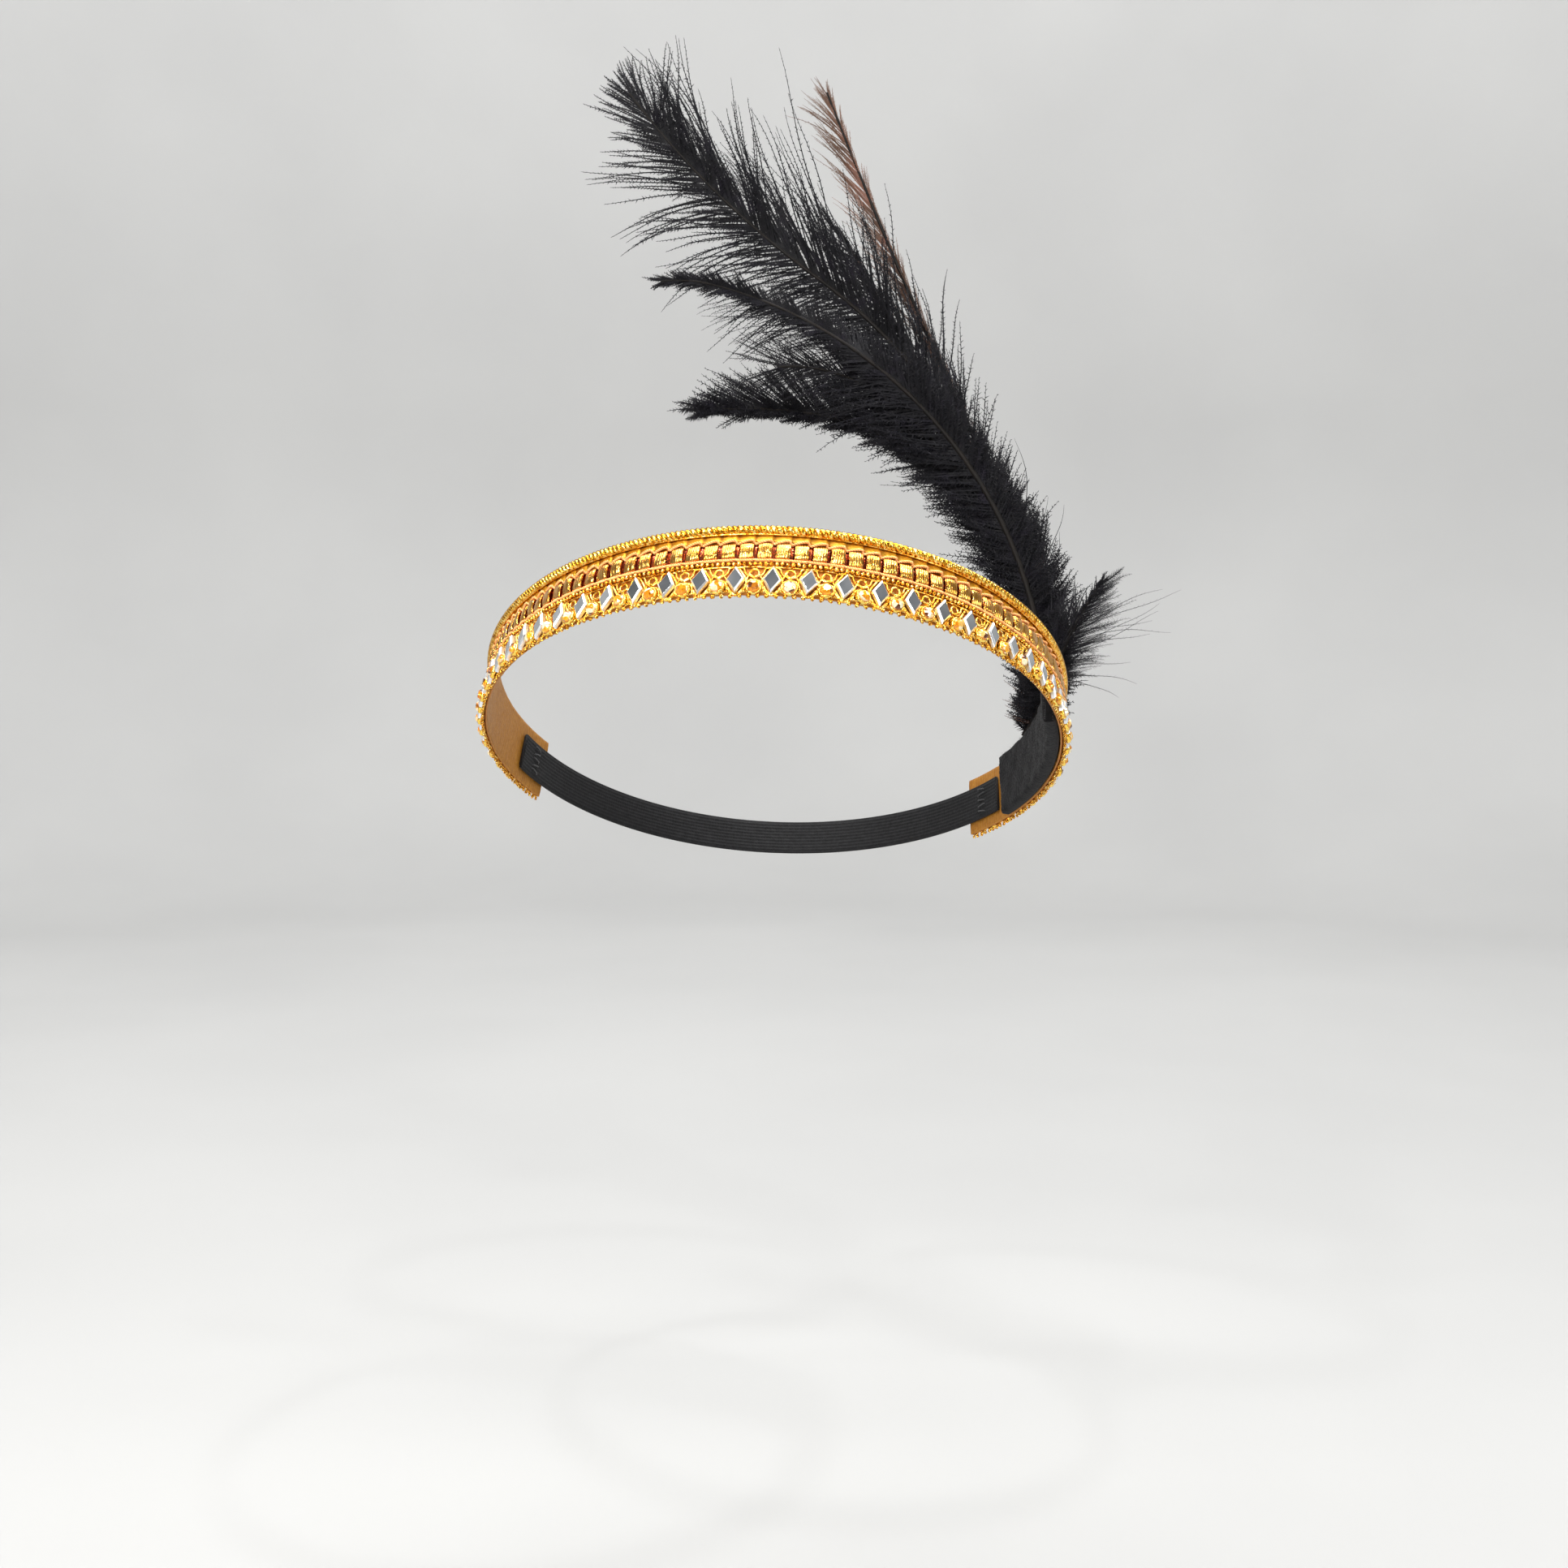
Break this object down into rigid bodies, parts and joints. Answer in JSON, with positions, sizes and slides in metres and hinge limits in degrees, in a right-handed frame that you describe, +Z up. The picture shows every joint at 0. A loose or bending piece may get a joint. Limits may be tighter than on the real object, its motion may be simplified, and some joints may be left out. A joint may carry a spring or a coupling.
{
  "type": "feather headband fascinator",
  "caption": "Gold braid headband with mirror stones and round stones, black elastic at the back, and a spray of dark feathers that rises from its left side over the crown.",
  "frame": {"origin": "centre of the headband's loop, at the middle of the band's height, where the wearer's head goes", "axes": "+Z up with the wearer upright, -Y towards the forehead, +X towards the wearer's left, where the feathers are held"},
  "size_m": [0.1733, 0.1752, 0.2214],
  "materials": {
    "gold_ribbon": "pleated metallic ribbon, shiny",
    "gold_cord": "metal-wrapped cord, bright",
    "channel_gold": "flat woven metallic ribbon, satin",
    "peach_thread": "twisted silk thread",
    "mirror_stone": "silver-backed acrylic, bevelled",
    "amber_stone": "foil-backed acrylic, faceted",
    "gold_foil": "stamped foil, bright",
    "black_elastic": "ribbed knit elastic, matt",
    "black_felt": "pressed felt, matt",
    "black_thread": "polyester thread",
    "black_barbs": "dyed feather barbs, soft sheen",
    "bronze_barbs": "iridescent copper-brown barbs",
    "dark_quill": "dyed quill, smooth"
  },
  "bodies": {
    "band": {"base_ribbon": "gold_ribbon", "top_edge_cord": "gold_cord", "channel_ribbon": "channel_gold", "upper_wave_thread": "peach_thread", "pleated_ribbon": "gold_ribbon", "lower_wave_thread": "peach_thread", "bead_cord": "gold_cord", "scroll_gimp": "gold_cord", "lower_picot_edge": "gold_cord", "mirror_diamonds": "mirror_stone", "round_stones": "amber_stone", "foil_cups": "gold_foil", "elastic_back": "black_elastic", "elastic_stitches_left": "black_thread", "elastic_stitches_right": "black_thread", "felt_backing_pad": "black_felt", "quill_bindings": "black_thread"},
    "side_marabou": {"side_marabou_quill": "dark_quill", "side_marabou_vane": "black_barbs"},
    "short_hackle": {"short_hackle_quill": "dark_quill", "short_hackle_vane": "black_barbs"},
    "ragged_plume": {"ragged_plume_quill": "dark_quill", "ragged_plume_vane": "black_barbs"},
    "ostrich_plume": {"ostrich_plume_quill": "dark_quill", "ostrich_plume_vane": "black_barbs"},
    "low_plume": {"low_plume_quill": "dark_quill", "low_plume_vane": "black_barbs"},
    "bronze_feather": {"bronze_feather_quill": "dark_quill", "bronze_feather_vane": "bronze_barbs"},
    "back_hackle": {"back_hackle_quill": "dark_quill", "back_hackle_vane": "black_barbs"}
  },
  "joints": [
    {"name": "side_marabou_sway", "type": "hinge", "parent": "band", "child": "side_marabou", "pos_m": [0.07227, -0.00883, 0.00813], "axis": [0, 1, 0], "range_deg": [-12, 15], "stiffness_Nm_per_rad": 0.001, "springref_deg": -1.26},
    {"name": "short_hackle_sway", "type": "hinge", "parent": "band", "child": "short_hackle", "pos_m": [0.07259, -0.00456, 0.00619], "axis": [0, 1, 0], "range_deg": [-7, 15], "stiffness_Nm_per_rad": 0.005, "springref_deg": 2.46},
    {"name": "ragged_plume_sway", "type": "hinge", "parent": "band", "child": "ragged_plume", "pos_m": [0.07271, -0.00027, 0.00426], "axis": [0, 1, 0], "range_deg": [-5, 15], "stiffness_Nm_per_rad": 0.005, "springref_deg": 2.35},
    {"name": "ostrich_plume_sway", "type": "hinge", "parent": "band", "child": "ostrich_plume", "pos_m": [0.07263, 0.00403, 0.00234], "axis": [0, 1, 0], "range_deg": [-10, 15], "stiffness_Nm_per_rad": 0.045, "springref_deg": 1.78},
    {"name": "low_plume_sway", "type": "hinge", "parent": "band", "child": "low_plume", "pos_m": [0.07236, 0.00833, 0.00045], "axis": [0, 1, 0], "range_deg": [0, 15], "stiffness_Nm_per_rad": 0.005, "springref_deg": 2.64},
    {"name": "bronze_feather_sway", "type": "hinge", "parent": "band", "child": "bronze_feather", "pos_m": [0.07188, 0.01262, -0.00143], "axis": [0, 1, 0], "range_deg": [-10, 12], "stiffness_Nm_per_rad": 0.01, "springref_deg": 1.26},
    {"name": "back_hackle_sway", "type": "hinge", "parent": "band", "child": "back_hackle", "pos_m": [0.07121, 0.01688, -0.00327], "axis": [0, 1, 0], "range_deg": [-10, 12], "stiffness_Nm_per_rad": 0.007, "springref_deg": 1.38}
  ]
}
